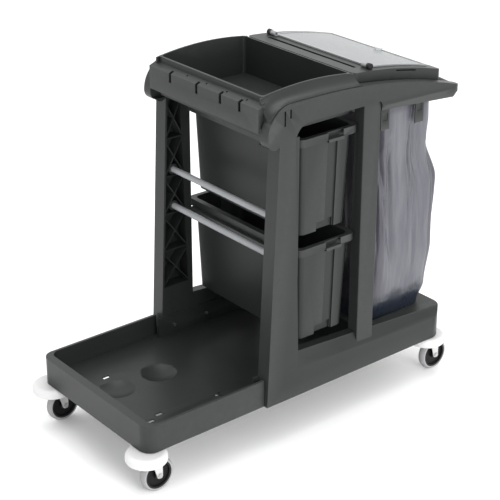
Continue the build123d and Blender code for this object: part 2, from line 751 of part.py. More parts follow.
def make_lid_knob():
    """The clear lift knob near the lid's rear edge."""
    shank = lid_recess - lid_thickness
    profile = Polyline((0, shank), (screw_radius - fit_gap, shank), (screw_radius - fit_gap, fit_gap),
                       (lid_knob_radius - 5, fit_gap), (lid_knob_radius - 6, 4))
    profile += ThreePointArc((lid_knob_radius - 6, 4), (lid_knob_radius, 8), (lid_knob_radius - 4, 12))
    profile += Polyline((lid_knob_radius - 4, 12), (lid_knob_radius - 7, 13), (0, 13), (0, shank))
    return on_lid(revolve(make_face(Plane.XZ * profile), Axis.Z))


def bag_plan(level, inset):
    """One level of the bag: a rounded rectangle."""
    height, front, rear, half, radius = level
    plan = Rectangle(rear - front - 2 * inset, 2 * half - 2 * inset)
    plan = fillet(plan.vertices(), radius - inset)
    return Pos((front + rear) / 2, 0, height) * plan


def make_waste_bag():
    """The soft bag: a bulging shell, open at the top."""
    outside = loft([bag_plan(level, 0) for level in bag_levels])
    floor_lift = (bag_wall,) + (0,) * (len(bag_levels) - 2) + (2,)
    inside = loft([bag_plan((level[0] + lift,) + level[1:], bag_wall) for level, lift in zip(bag_levels, floor_lift)])
    return largest_solid(outside - inside)


def make_bag_clips():
    """Two spring clips that hang from the bag frame and hold the bag's hem."""
    clips = []
    outer = -bag_frame_width / 2
    for x, clip_bottom in clip_places:
        clip = block((x - clip_width / 2, outer, clip_bottom),
                     (x + clip_width / 2, outer + clip_thickness, bag_frame_bottom))
        clip = fillet(clip.edges().filter_by(Axis.Y).group_by(Axis.Z)[0], 4)
        clips.append(largest_solid(clip))
    return clips


# The push handle

def make_push_handle():
    """A round bowed bar between the rear ends of the side frames."""
    span = rail_inner
    path = ThreePointArc((handle_end_x, -span, handle_height), (handle_end_x + handle_bow, 0, handle_height),
                         (handle_end_x, span, handle_height))
    start = Plane(origin=path @ 0, z_dir=path % 0)
    bar = sweep(start * Circle(handle_radius), path=path)
    return largest_solid(bar & block((0, -span, 0), (2000, span, 2000)))


# The castors

def make_castor_stem(x, y):
    """The fixed pin: threaded end in the base, collar, shaft and lower head."""
    stem = rod_z(stem_radius, crown_top - crown_thickness - 3, base_underside + stem_rise - 1, x, y)
    stem += rod_z(stem_collar_radius, base_underside - stem_collar_height, base_underside, x, y)
    head_top = crown_top - crown_thickness - running_gap
    stem += rod_z(stem_head_radius, head_top - 4.2, head_top, x, y)
    return largest_solid(stem)


def make_bumper(x, y):
    """The round white buffer that turns on the stem."""
    top = base_underside - stem_collar_height - running_gap
    cavity_top = crown_top + running_gap
    side = bumper_radius - bumper_edge
    profile = Polyline((stem_radius + fit_gap, top), (side, top))
    profile += ThreePointArc((side, top), (side + bumper_edge * math.sin(math.pi / 4),
                                           top - bumper_edge * (1 - math.cos(math.pi / 4))),
                             (bumper_radius, top - bumper_edge))
    lower = bumper_lower_edge
    profile += Line((bumper_radius, top - bumper_edge), (bumper_radius, bumper_bottom + lower))
    profile += ThreePointArc((bumper_radius, bumper_bottom + lower),
                             (bumper_radius - lower * (1 - math.cos(math.pi / 4)),
                              bumper_bottom + lower * (1 - math.sin(math.pi / 4))),
                             (bumper_radius - lower, bumper_bottom))
    profile += Polyline((bumper_radius - lower, bumper_bottom), (bumper_cavity_radius, bumper_bottom),
                        (bumper_cavity_radius, cavity_top), (stem_radius + fit_gap, cavity_top),
                        (stem_radius + fit_gap, top))
    return Pos(x, y, 0) * revolve(make_face(Plane.XZ * profile), Axis.Z)


def make_fork(x, y):
    """The swivelling fork: a crown plate and two tapered arms."""
    axle_x = x + castor_trail
    crown_low = crown_top - crown_thickness
    crown_plate = rod_z(crown_plate_radius, crown_low, crown_top, x, y)
    crown_plate += block((x, y - arm_inner - arm_thickness, crown_low),
                         (x + arm_top_width, y + arm_inner + arm_thickness, crown_top))
    crown_plate -= rod_z(stem_radius + fit_gap, crown_low - 1, crown_top + 1, x, y)
    fork = crown_plate
    for side in (-1, 1):
        near = y + side * arm_inner
        far = y + side * (arm_inner + arm_thickness)
        arm = Polyline((x + 4, crown_low + 1), (x + arm_top_width, crown_low + 1),
                       (axle_x + arm_foot_radius, wheel_radius), (axle_x - arm_foot_radius, wheel_radius),
                       (x + 4, crown_low + 1))
        arm_solid = slab(arm, max(near, far), min(near, far))
        arm_solid += rod_y(arm_foot_radius, min(near, far), max(near, far), axle_x, wheel_radius)
        arm_solid -= rod_y(axle_radius, min(near, far) - 1, max(near, far) + 1, axle_x, wheel_radius)
        fork += arm_solid
    return largest_solid(fork)


def make_axle(x, y):
    """The wheel bolt with its hexagon head and nut."""
    axle_x = x + castor_trail
    out = arm_inner + arm_thickness
    bolt = rod_y(axle_radius, y - out, y + out + 6, axle_x, wheel_radius)
    hexagon = RegularPolygon(7.0, 6)
    head = extrude(Plane.XZ.offset(-(y - out)) * hexagon, amount=4)
    nut = extrude(Plane.XZ.offset(-(y + out + 5)) * hexagon, amount=5)
    bolt += Pos(axle_x, 0, wheel_radius) * head
    bolt += Pos(axle_x, 0, wheel_radius) * nut
    return largest_solid(bolt)


def make_hub(x, y):
    """The dished black wheel centre."""
    half = tyre_width / 2 - 1
    boss = hub_boss_length / 2
    profile = Polyline((axle_radius + fit_gap, boss), (12, boss), (13, 6), (hub_radius - 7, 6),
                       (hub_radius - 5, half), (hub_radius, half), (hub_radius, -half),
                       (hub_radius - 5, -half), (hub_radius - 7, -6), (13, -6), (12, -boss),
                       (axle_radius + fit_gap, -boss), (axle_radius + fit_gap, boss))
    wheel = revolve(make_face(Plane.XZ * profile), Axis.Z)
    return Pos(x + castor_trail, y, wheel_radius) * Rot(90, 0, 0) * wheel


def make_tyre(x, y):
    """The grey tyre, rounded at its tread."""
    half = tyre_width / 2
    shoulder = 5.0
    profile = Polyline((hub_radius, half), (wheel_radius - shoulder, half))
    profile += ThreePointArc((wheel_radius - shoulder, half), (wheel_radius, 0), (wheel_radius - shoulder, -half))
    profile += Polyline((wheel_radius - shoulder, -half), (hub_radius, -half), (hub_radius, half))
    tyre = revolve(make_face(Plane.XZ * profile), Axis.Z)
    return Pos(x + castor_trail, y, wheel_radius) * Rot(90, 0, 0) * tyre


def build():
    """Makes every piece and writes one file each."""
    os.makedirs("parts", exist_ok=True)
    frame = make_side_frame()
    post = make_rear_post(frame)
    export_piece(frame, "side_frame_left")
    export_piece(mirrored(frame), "side_frame_right")
    export_piece(post, "rear_post_left")
    export_piece(mirrored(post), "rear_post_right")
    export_piece(make_base(), "base_tray")
    export_piece(make_frame_screws(), "frame_screws")
    for level, height in bar_heights.items():
        export_piece(make_cross_bar(height), level + "_cross_bar")
    for level, top in tub_tops.items():
        export_piece(make_runner(top, False), level + "_front_runner")
        export_piece(make_runner(top, True), level + "_rear_runner")
        export_piece(make_tub(top), level + "_tub")
    export_piece(make_top_tray(), "top_tray")
    export_piece(make_bag_frame(), "bag_frame")
    export_piece(make_hinge_pins(), "lid_hinge_pins")
    export_piece(make_lid_panel(), "lid_panel")
    export_piece(make_lid_knob(), "lid_knob")
    export_piece(make_waste_bag(), "waste_bag")
    clips = make_bag_clips()
    export_piece(Compound(children=clips), "bag_clips_left")
    export_piece(mirrored(Compound(children=clips)), "bag_clips_right")
    export_piece(make_push_handle(), "push_handle")
    for place, (x, y) in castor_places.items():
        export_piece(make_castor_stem(x, y), place + "_castor_stem")
        export_piece(make_bumper(x, y), place + "_bumper")
        export_piece(make_fork(x, y), place + "_fork")
        export_piece(make_axle(x, y), place + "_axle")
        export_piece(make_hub(x, y), place + "_wheel_hub")
        export_piece(make_tyre(x, y), place + "_tyre")


build()
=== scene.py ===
import json
import math
import random

import bpy
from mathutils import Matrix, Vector, noise


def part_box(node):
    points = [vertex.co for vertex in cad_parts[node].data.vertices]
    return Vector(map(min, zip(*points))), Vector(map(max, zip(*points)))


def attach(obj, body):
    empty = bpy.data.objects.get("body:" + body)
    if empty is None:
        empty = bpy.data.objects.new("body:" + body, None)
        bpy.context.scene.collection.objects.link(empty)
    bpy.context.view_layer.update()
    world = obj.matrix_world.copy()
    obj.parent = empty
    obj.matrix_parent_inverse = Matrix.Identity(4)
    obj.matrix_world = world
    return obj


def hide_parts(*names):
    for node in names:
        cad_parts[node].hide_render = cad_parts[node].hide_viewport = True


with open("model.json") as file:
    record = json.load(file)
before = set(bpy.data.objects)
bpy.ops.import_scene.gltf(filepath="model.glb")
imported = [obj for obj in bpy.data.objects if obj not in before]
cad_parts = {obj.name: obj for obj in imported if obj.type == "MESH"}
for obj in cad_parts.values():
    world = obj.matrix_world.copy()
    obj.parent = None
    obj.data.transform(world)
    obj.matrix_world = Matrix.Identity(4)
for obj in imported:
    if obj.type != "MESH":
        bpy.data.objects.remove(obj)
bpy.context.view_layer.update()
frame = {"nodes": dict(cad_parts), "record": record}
nodes = frame["nodes"]
bodyOf = {node: body for body, members in frame["record"]["behaviour"]["bodies"].items() for node in members}
slotOf = {part["node"]: part["material_slot"] for part in frame["record"]["subparts"]}
print("frame loaded:", len(nodes), "nodes")


# picking and small helpers
def clearSelection():
    if bpy.context.mode != "OBJECT":
        bpy.ops.object.mode_set(mode="OBJECT")
    bpy.ops.object.select_all(action="DESELECT")


def pickOnly(piece):
    clearSelection()
    piece.select_set(True)
    bpy.context.view_layer.objects.active = piece


def applyModifiers(piece):
    pickOnly(piece)
    for modifier in list(piece.modifiers):
        bpy.ops.object.modifier_apply(modifier=modifier.name)


def pickFaces(piece, test):
    # leaves edit mode on, with only the faces that pass the test selected
    bpy.ops.object.mode_set(mode="OBJECT")
    for part in (piece.data.vertices, piece.data.edges, piece.data.polygons):
        for element in part:
            element.select = False
    for face in piece.data.polygons:
        face.select = test(face)
    bpy.ops.object.mode_set(mode="EDIT")
    bpy.ops.mesh.select_mode(type="FACE")


def joinAll(pieces, name):
    clearSelection()
    for piece in pieces:
        piece.select_set(True)
    bpy.context.view_layer.objects.active = pieces[0]
    if len(pieces) > 1:
        bpy.ops.object.join()
    joined = bpy.context.view_layer.objects.active
    joined.name = name
    bpy.ops.object.transform_apply(location=True, rotation=True, scale=True)
    return joined


# shader effects that several materials share
def newGroup(name, inputs, outputs):
    group = bpy.data.node_groups.new(name, "ShaderNodeTree")
    for label, kind, value in inputs:
        socket = group.interface.new_socket(label, in_out="INPUT", socket_type=kind)
        if value is not None:
            socket.default_value = value
    for label, kind in outputs:
        group.interface.new_socket(label, in_out="OUTPUT", socket_type=kind)
    start = group.nodes.new("NodeGroupInput")
    end = group.nodes.new("NodeGroupOutput")
    return group, start, end


def addNode(tree, kind, **settings):
    node = tree.nodes.new(kind)
    for key, value in settings.items():
        setattr(node, key, value)
    return node


def mathNode(tree, operation, first, second=None, clamp=False):
    node = addNode(tree, "ShaderNodeMath", operation=operation, use_clamp=clamp)
    for socket, value in zip(node.inputs, (first, second)):
        if value is None:
            continue
        if isinstance(value, (int, float)):
            socket.default_value = value
        else:
            tree.links.new(value, socket)
    return node.outputs[0]


def noiseNode(tree, vector, scale, detail=3.0, roughness=0.55):
    node = addNode(tree, "ShaderNodeTexNoise")
    tree.links.new(vector, node.inputs["Vector"])
    if isinstance(scale, (int, float)):
        node.inputs["Scale"].default_value = scale
    else:
        tree.links.new(scale, node.inputs["Scale"])
    node.inputs["Detail"].default_value = detail
    node.inputs["Roughness"].default_value = roughness
    return node.outputs["Fac"]


grainLook = {"streakStretch": (14.0, 14.0, 160.0), "scuffFrom": 0.62, "scuffGain": 5.0}
wearAndHighlightLook = {"edgeFrom": 0.515, "edgeGain": 14.0, "leastMarked": 0.35}
dustLook = {"patchScale": 16.0, "upPower": 3.0}


def buildMouldGrain():
    # fine moulded grain for the bump, and slow clouding for colour and gloss
    group, start, end = newGroup(
        "mouldGrain",
        [("Grain Scale", "NodeSocketFloat", 900.0), ("Cloud Scale", "NodeSocketFloat", 9.0)],
        [("Height", "NodeSocketFloat"), ("Cloud", "NodeSocketFloat"), ("Scuff", "NodeSocketFloat")])
    place = addNode(group, "ShaderNodeTexCoord").outputs["Object"]
    fine = noiseNode(group, place, start.outputs["Grain Scale"], 2.0, 0.6)
    cloud = noiseNode(group, place, start.outputs["Cloud Scale"], 4.0, 0.6)
    stretched = addNode(group, "ShaderNodeMapping")
    stretched.inputs["Scale"].default_value = grainLook["streakStretch"]
    group.links.new(place, stretched.inputs["Vector"])
    streak = noiseNode(group, stretched.outputs["Vector"], 1.0, 3.0, 0.65)
    peaks = mathNode(group, "SUBTRACT", streak, grainLook["scuffFrom"], clamp=True)
    scuff = mathNode(group, "MULTIPLY", peaks, grainLook["scuffGain"], clamp=True)
    group.links.new(fine, end.inputs["Height"])
    group.links.new(cloud, end.inputs["Cloud"])
    group.links.new(scuff, end.inputs["Scuff"])
    return group


def buildEdgeWearAndHighlight():
    # a mask along outward edges, broken up by noise: edge wear and painted highlight along the edges
    group, start, end = newGroup(
        "edgeWearAndHighlight",
        [("Strength", "NodeSocketFloat", 1.0), ("Breakup Scale", "NodeSocketFloat", 60.0)],
        [("Mask", "NodeSocketFloat")])
    point = addNode(group, "ShaderNodeNewGeometry").outputs["Pointiness"]
    place = addNode(group, "ShaderNodeTexCoord").outputs["Object"]
    broken = noiseNode(group, place, start.outputs["Breakup Scale"], 3.0, 0.6)
    sharp = mathNode(group, "SUBTRACT", point, wearAndHighlightLook["edgeFrom"], clamp=True)
    edge = mathNode(group, "MULTIPLY", sharp, wearAndHighlightLook["edgeGain"], clamp=True)
    worn = mathNode(group, "MULTIPLY", edge, mathNode(group, "ADD", broken, wearAndHighlightLook["leastMarked"]))
    mask = mathNode(group, "MULTIPLY", worn, start.outputs["Strength"], clamp=True)
    group.links.new(mask, end.inputs["Mask"])
    return group


def buildSettledDust():
    # pale dust that lies on faces that look up
    group, start, end = newGroup(
        "settledDust",
        [("Amount", "NodeSocketFloat", 0.2)],
        [("Mask", "NodeSocketFloat")])
    facing = addNode(group, "ShaderNodeSeparateXYZ")
    group.links.new(addNode(group, "ShaderNodeNewGeometry").outputs["Normal"], facing.inputs["Vector"])
    place = addNode(group, "ShaderNodeTexCoord").outputs["Object"]
    patch = noiseNode(group, place, dustLook["patchScale"], 5.0, 0.65)
    up = mathNode(group, "POWER", mathNode(group, "MAXIMUM", facing.outputs["Z"], 0.0), dustLook["upPower"])
    lying = mathNode(group, "MULTIPLY", up, patch)
    mask = mathNode(group, "MULTIPLY", lying, start.outputs["Amount"], clamp=True)
    group.links.new(mask, end.inputs["Mask"])
    return group


mouldGrain = buildMouldGrain()
edgeWearAndHighlight = buildEdgeWearAndHighlight()
settledDust = buildSettledDust()
print("shader groups built")


# materials
bumpDepth = {"plastic": 0.0006, "metal": 0.0004, "sheet": 0.0004, "film": 0.003}
scuffDulls = 0.10
sheetWearAndHighlight = 0.3


def newMaterial(name):
    material = bpy.data.materials.new(name)
    material.use_nodes = True
    tree = material.node_tree
    return material, tree, tree.nodes["Principled BSDF"]


def placeGroup(tree, group, **values):
    node = addNode(tree, "ShaderNodeGroup", node_tree=group)
    for label, value in values.items():
        node.inputs[label.replace("_", " ")].default_value = value
    return node


def mixColours(tree, factor, first, second):
    node = addNode(tree, "ShaderNodeMix", data_type="RGBA")
    tree.links.new(factor, node.inputs["Factor"])
    for socket, value in ((node.inputs["A"], first), (node.inputs["B"], second)):
        if isinstance(value, tuple):
            socket.default_value = (*value, 1.0)
        else:
            tree.links.new(value, socket)
    return node.outputs["Result"]


def mapRange(tree, value, low, high):
    node = addNode(tree, "ShaderNodeMapRange")
    tree.links.new(value, node.inputs["Value"])
    node.inputs["To Min"].default_value = low
    node.inputs["To Max"].default_value = high
    return node.outputs["Result"]


def addBump(tree, shader, height, strength, distance):
    bump = addNode(tree, "ShaderNodeBump")
    bump.inputs["Strength"].default_value = strength
    bump.inputs["Distance"].default_value = distance
    tree.links.new(height, bump.inputs["Height"])
    tree.links.new(bump.outputs["Normal"], shader.inputs["Normal"])


def plasticMaterial(name, look):
    # moulded plastic: two close shades, grain, paler edges (edge wear and painted highlight) and a little
    # dust
    material, tree, shader = newMaterial(name)
    grain = placeGroup(tree, mouldGrain, Grain_Scale=look["grainScale"], Cloud_Scale=look["cloudScale"])
    wearAndHighlight = placeGroup(tree, edgeWearAndHighlight, Strength=look["edge"])
    dust = placeGroup(tree, settledDust, Amount=look["dust"])
    colour = mixColours(tree, grain.outputs["Cloud"], look["dark"], look["light"])
    # edge wear and painted highlight: the outward edges take their own edge colour
    colour = mixColours(tree, wearAndHighlight.outputs["Mask"], colour, look["wornAndHighlit"])
    colour = mixColours(tree, dust.outputs["Mask"], colour, look["dustColour"])
    tree.links.new(colour, shader.inputs["Base Color"])
    rough = mapRange(tree, grain.outputs["Cloud"], look["roughLow"], look["roughHigh"])
    duller = mathNode(tree, "MULTIPLY", grain.outputs["Scuff"], scuffDulls)
    rough = mathNode(tree, "ADD", rough, duller, clamp=True)
    tree.links.new(rough, shader.inputs["Roughness"])
    shader.inputs["Specular IOR Level"].default_value = look["specular"]
    addBump(tree, shader, grain.outputs["Height"], look["bump"], bumpDepth["plastic"])
    return material


cartPlastic = plasticMaterial("cartPlastic", {
    "dark": (0.013, 0.0150, 0.0145), "light": (0.019, 0.0215, 0.0205), "wornAndHighlit": (0.07, 0.075, 0.072),
    "dustColour": (0.10, 0.105, 0.10), "edge": 0.4, "dust": 0.04, "grainScale": 1100.0, "cloudScale": 7.0,
    "roughLow": 0.32, "roughHigh": 0.44, "specular": 0.27, "bump": 0.16})
blackPlastic = plasticMaterial("blackPlastic", {
    "dark": (0.002, 0.002, 0.002), "light": (0.005, 0.005, 0.005), "wornAndHighlit": (0.03, 0.03, 0.03),
    "dustColour": (0.06, 0.06, 0.06), "edge": 0.5, "dust": 0.05, "grainScale": 1500.0, "cloudScale": 30.0,
    "roughLow": 0.36, "roughHigh": 0.50, "specular": 0.18, "bump": 0.2})
whitePlastic = plasticMaterial("whitePlastic", {
    "dark": (0.56, 0.56, 0.56), "light": (0.63, 0.63, 0.63), "wornAndHighlit": (0.50, 0.50, 0.49),
    "dustColour": (0.5, 0.49, 0.46), "edge": 0.25, "dust": 0.05, "grainScale": 1200.0, "cloudScale": 18.0,
    "roughLow": 0.34, "roughHigh": 0.46, "specular": 0.5, "bump": 0.12})
tyreRubber = plasticMaterial("tyreRubber", {
    "dark": (0.24, 0.24, 0.245), "light": (0.31, 0.31, 0.315), "wornAndHighlit": (0.40, 0.40, 0.40),
    "dustColour": (0.42, 0.41, 0.39), "edge": 0.3, "dust": 0.1, "grainScale": 1600.0, "cloudScale": 40.0,
    "roughLow": 0.62, "roughHigh": 0.80, "specular": 0.3, "bump": 0.3})
coatedBar = plasticMaterial("coatedBar", {
    "dark": (0.21, 0.22, 0.23), "light": (0.27, 0.28, 0.29), "wornAndHighlit": (0.42, 0.42, 0.42),
    "dustColour": (0.5, 0.5, 0.5), "edge": 0.1, "dust": 0.05, "grainScale": 1800.0, "cloudScale": 25.0,
    "roughLow": 0.30, "roughHigh": 0.42, "specular": 0.5, "bump": 0.08})


def metalMaterial(name, look):
    # plated steel with clouded gloss and thin brush lines
    material, tree, shader = newMaterial(name)
    grain = placeGroup(tree, mouldGrain, Grain_Scale=look["grainScale"], Cloud_Scale=look["cloudScale"])
    colour = mixColours(tree, grain.outputs["Cloud"], look["dark"], look["light"])
    tree.links.new(colour, shader.inputs["Base Color"])
    tree.links.new(mapRange(tree, grain.outputs["Cloud"], look["roughLow"], look["roughHigh"]),
                   shader.inputs["Roughness"])
    shader.inputs["Metallic"].default_value = look["metallic"]
    addBump(tree, shader, grain.outputs["Scuff"], look["bump"], bumpDepth["metal"])
    return material


platedSteel = metalMaterial("platedSteel", {
    "dark": (0.42, 0.42, 0.43), "light": (0.62, 0.62, 0.62), "roughLow": 0.26, "roughHigh": 0.42,
    "metallic": 1.0, "bump": 0.2, "grainScale": 1400.0, "cloudScale": 50.0})
paleFork = metalMaterial("paleFork", {
    "dark": (0.50, 0.50, 0.50), "light": (0.60, 0.60, 0.59), "roughLow": 0.28, "roughHigh": 0.42,
    "metallic": 0.35, "bump": 0.15, "grainScale": 1400.0, "cloudScale": 40.0})


def frostedSheet(name, look):
    # frosted translucent plastic: part clear, with faint cloud and fine scratches
    material, tree, shader = newMaterial(name)
    grain = placeGroup(tree, mouldGrain, Grain_Scale=look["grainScale"], Cloud_Scale=look["cloudScale"])
    wearAndHighlight = placeGroup(tree, edgeWearAndHighlight, Strength=sheetWearAndHighlight)
    colour = mixColours(tree, grain.outputs["Cloud"], look["dark"], look["light"])
    # edge wear and painted highlight: the outward edges take their own edge colour
    colour = mixColours(tree, wearAndHighlight.outputs["Mask"], colour, look["wornAndHighlit"])
    tree.links.new(colour, shader.inputs["Base Color"])
    tree.links.new(mapRange(tree, grain.outputs["Cloud"], look["roughLow"], look["roughHigh"]),
                   shader.inputs["Roughness"])
    tree.links.new(mapRange(tree, grain.outputs["Cloud"], look["alphaLow"], look["alphaHigh"]),
                   shader.inputs["Alpha"])
    addBump(tree, shader, grain.outputs["Height"], look["bump"], bumpDepth["sheet"])
    return material


lidSheet = frostedSheet("lidSheet", {
    "dark": (0.22, 0.23, 0.235), "light": (0.27, 0.28, 0.285), "wornAndHighlit": (0.5, 0.5, 0.5),
    "roughLow": 0.16, "roughHigh": 0.30, "alphaLow": 0.80, "alphaHigh": 0.90, "bump": 0.15,
    "grainScale": 700.0, "cloudScale": 5.0})
clearKnob = frostedSheet("clearKnob", {
    "dark": (0.66, 0.68, 0.69), "light": (0.78, 0.80, 0.81), "wornAndHighlit": (0.9, 0.9, 0.9),
    "roughLow": 0.08, "roughHigh": 0.16, "alphaLow": 0.55, "alphaHigh": 0.65, "bump": 0.05,
    "grainScale": 500.0, "cloudScale": 40.0})


def smoothStep(tree, value, span):
    # 0 at the first end of the span, 1 at the second
    node = addNode(tree, "ShaderNodeMapRange", interpolation_type="SMOOTHSTEP")
    tree.links.new(value, node.inputs["Value"])
    node.inputs["From Min"].default_value = span[0]
    node.inputs["From Max"].default_value = span[1]
    return node.outputs["Result"]


def filmMaterial(name, look):
    # thin grey film: pale and dark streaks down the folds as painted highlight and shade over random tone,
    # painted shade towards the front and rear edges and under the hem, and darker in a ragged band near the
    # floor of the bag
    material, tree, shader = newMaterial(name)
    place = addNode(tree, "ShaderNodeTexCoord").outputs["Object"]
    stretched = addNode(tree, "ShaderNodeMapping")
    stretched.inputs["Scale"].default_value = look["streakScale"]
    tree.links.new(place, stretched.inputs["Vector"])
    fine = noiseNode(tree, stretched.outputs["Vector"], 1.0, 5.0, 0.62)
    broad = noiseNode(tree, stretched.outputs["Vector"], look["broadScale"], 2.0, 0.5)
    both = mathNode(tree, "ADD", mathNode(tree, "MULTIPLY", fine, 0.5),
                    mathNode(tree, "MULTIPLY", broad, 0.5))
    spread = addNode(tree, "ShaderNodeMapRange")
    tree.links.new(both, spread.inputs["Value"])
    spread.inputs["From Min"].default_value = look["streakSpan"][0]
    spread.inputs["From Max"].default_value = look["streakSpan"][1]
    streak = spread.outputs["Result"]
    cloud = noiseNode(tree, place, look["cloudScale"], 4.0, 0.6)
    ragged = noiseNode(tree, place, look["raggedScale"], 4.0, 0.7)
    height = addNode(tree, "ShaderNodeSeparateXYZ")
    tree.links.new(place, height.inputs["Vector"])
    level = mathNode(tree, "ADD", height.outputs["Z"],
                     mathNode(tree, "MULTIPLY", ragged, look["raggedDepth"]))
    # darker in a ragged band near the floor of the bag
    low = smoothStep(tree, level, (look["bottomDarkFrom"], look["bottomDarkTo"]))
    # painted highlight and shade: the streaks lighten and darken the film along the folds, over random tone
    shade = mixColours(tree, streak, look["dark"], look["light"])
    shade = mixColours(tree, mathNode(tree, "MULTIPLY", cloud, look["coolAmount"]), shade, look["cool"])
    # painted shade: the film is darkened towards its front and rear edges and in the band under the hem
    front = smoothStep(tree, height.outputs["X"], look["frontShadeSpan"])
    rear = smoothStep(tree, height.outputs["X"], look["rearShadeSpan"])
    hem = smoothStep(tree, height.outputs["Z"], look["hem"])
    shade = mixColours(tree, mathNode(tree, "MULTIPLY", front, look["frontShadeAmount"]), shade, look["shadow"])
    shade = mixColours(tree, mathNode(tree, "MULTIPLY", rear, look["rearShadeAmount"]), shade, look["shadow"])
    shade = mixColours(tree, mathNode(tree, "MULTIPLY", hem, look["hemShadeAmount"]), shade, look["shadow"])
    shade = mixColours(tree, low, look["bottomDark"], shade)
    tree.links.new(shade, shader.inputs["Base Color"])
    tree.links.new(mapRange(tree, streak, look["roughLow"], look["roughHigh"]), shader.inputs["Roughness"])
    opaque = mapRange(tree, streak, look["alphaLow"], look["alphaHigh"])
    tree.links.new(opaque, shader.inputs["Alpha"])
    relief = mathNode(tree, "ADD", streak, mathNode(tree, "MULTIPLY", ragged, look["raggedRelief"]))
    addBump(tree, shader, relief, look["bump"], bumpDepth["film"])
    return material


bagFilm = filmMaterial("bagFilm", {
    "dark": (0.050, 0.048, 0.062), "light": (0.150, 0.150, 0.166), "cool": (0.075, 0.086, 0.106),
    "shadow": (0.045, 0.040, 0.055), "frontShadeSpan": (0.345, 0.300), "rearShadeSpan": (0.47, 0.53),
    "hem": (0.850, 0.872), "coolAmount": 0.5, "frontShadeAmount": 0.75, "rearShadeAmount": 0.55, "hemShadeAmount": 0.6,
    "broadScale": 0.36, "streakSpan": (0.38, 0.62), "cloudScale": 7.0, "raggedScale": 26.0,
    "raggedRelief": 0.4, "bump": 0.5,
    "bottomDark": (0.012, 0.016, 0.026), "streakScale": (42.0, 42.0, 3.2), "raggedDepth": 0.08,
    "bottomDarkFrom": 0.315, "bottomDarkTo": 0.355, "roughLow": 0.26, "roughHigh": 0.42,
    "alphaLow": 0.96, "alphaHigh": 0.90})

slotMaterials = {
    "body_plastic": cartPlastic, "bar_grey": coatedBar, "steel": platedSteel, "fork_steel": paleFork,
    "black_plastic": blackPlastic, "lid_clear": lidSheet, "knob_clear": clearKnob, "bag_film": bagFilm,
    "bumper_white": whitePlastic, "tyre_grey": tyreRubber}


def paint(piece, material):
    piece.data.materials.clear()
    piece.data.materials.append(material)


for nodeName, node in nodes.items():
    for materialSlot in node.material_slots:
        materialSlot.material = slotMaterials[slotOf[nodeName]]
print("materials placed:", len(slotMaterials))


# mouldings with rounded edges
roundedEdges = {"side_frame_left": 0.0022, "side_frame_right": 0.0022, "rear_post_left": 0.0016,
                "rear_post_right": 0.0016, "base_tray": 0.0016, "top_tray": 0.0012, "bag_frame": 0.0012,
                "upper_tub": 0.0010, "lower_tub": 0.0010, "lid_panel": 0.0008}


rounding = {"merge": 0.00002, "flatWithin": 0.6, "segments": 2, "roundFrom": 38, "smoothWithin": 32}


def roundMoulding(nodeName, width):
    # a merged copy of the moulding, with every sharp edge rounded as a mould leaves it
    source = nodes[nodeName]
    piece = bpy.data.objects.new("rounded_" + nodeName, source.data.copy())
    bpy.context.scene.collection.objects.link(piece)
    pickOnly(piece)
    if piece.data.has_custom_normals:
        bpy.ops.mesh.customdata_custom_splitnormals_clear()
    bpy.ops.object.mode_set(mode="EDIT")
    bpy.ops.mesh.select_all(action="SELECT")
    bpy.ops.mesh.remove_doubles(threshold=rounding["merge"])
    bpy.ops.mesh.dissolve_limited(angle_limit=math.radians(rounding["flatWithin"]))
    bpy.ops.object.mode_set(mode="OBJECT")
    bevel = piece.modifiers.new("edge", "BEVEL")
    bevel.width = width
    bevel.segments = rounding["segments"]
    bevel.limit_method = "ANGLE"
    bevel.angle_limit = math.radians(rounding["roundFrom"])
    bevel.use_clamp_overlap = True
    bevel.miter_outer = "MITER_ARC"
    applyModifiers(piece)
    bpy.ops.object.shade_smooth_by_angle(angle=math.radians(rounding["smoothWithin"]))
    weighted = piece.modifiers.new("flatFaces", "WEIGHTED_NORMAL")
    weighted.weight = 100
    weighted.keep_sharp = True
    applyModifiers(piece)
    paint(piece, slotMaterials[slotOf[nodeName]])
    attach(piece, bodyOf[nodeName])
    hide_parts(nodeName)
    return piece


for nodeName, width in roundedEdges.items():
    rounded = roundMoulding(nodeName, width)
    print("rounded", nodeName, len(rounded.data.polygons), "faces")


# bag clips
clipShape = {"width": 0.033, "windowWidth": 0.019, "windowHeight": 0.022, "windowDrop": 0.030,
             "windowDepth": 0.0022, "bevel": 0.0014, "segments": 2, "smoothWithin": 35}


def makeClip(low, high, outward):
    # a springy tongue with a sunk window near its top
    middle = (low + high) / 2
    bpy.ops.mesh.primitive_cube_add(size=1, location=middle)
    clip = bpy.context.active_object
    clip.scale = (high.x - low.x, high.y - low.y, high.z - low.z)
    bpy.ops.object.transform_apply(location=True, rotation=True, scale=True)
    pickFaces(clip, lambda face: face.normal.y * outward > 0.9)
    border = (clipShape["width"] - clipShape["windowWidth"]) / 2
    bpy.ops.mesh.inset(thickness=border)
    bpy.ops.transform.resize(value=(1, 1, clipShape["windowHeight"] / (high.z - low.z - 2 * border)))
    windowMiddle = high.z - clipShape["windowDrop"] - clipShape["windowHeight"] / 2
    bpy.ops.transform.translate(value=(0, 0, windowMiddle - middle.z))
    bpy.ops.mesh.extrude_region_move(TRANSFORM_OT_translate={
        "value": (0, -outward * clipShape["windowDepth"], 0)})
    bpy.ops.object.mode_set(mode="OBJECT")
    bevel = clip.modifiers.new("edge", "BEVEL")
    bevel.width = clipShape["bevel"]
    bevel.segments = clipShape["segments"]
    bevel.limit_method = "ANGLE"
    applyModifiers(clip)
    bpy.ops.object.shade_smooth_by_angle(angle=math.radians(clipShape["smoothWithin"]))
    return clip


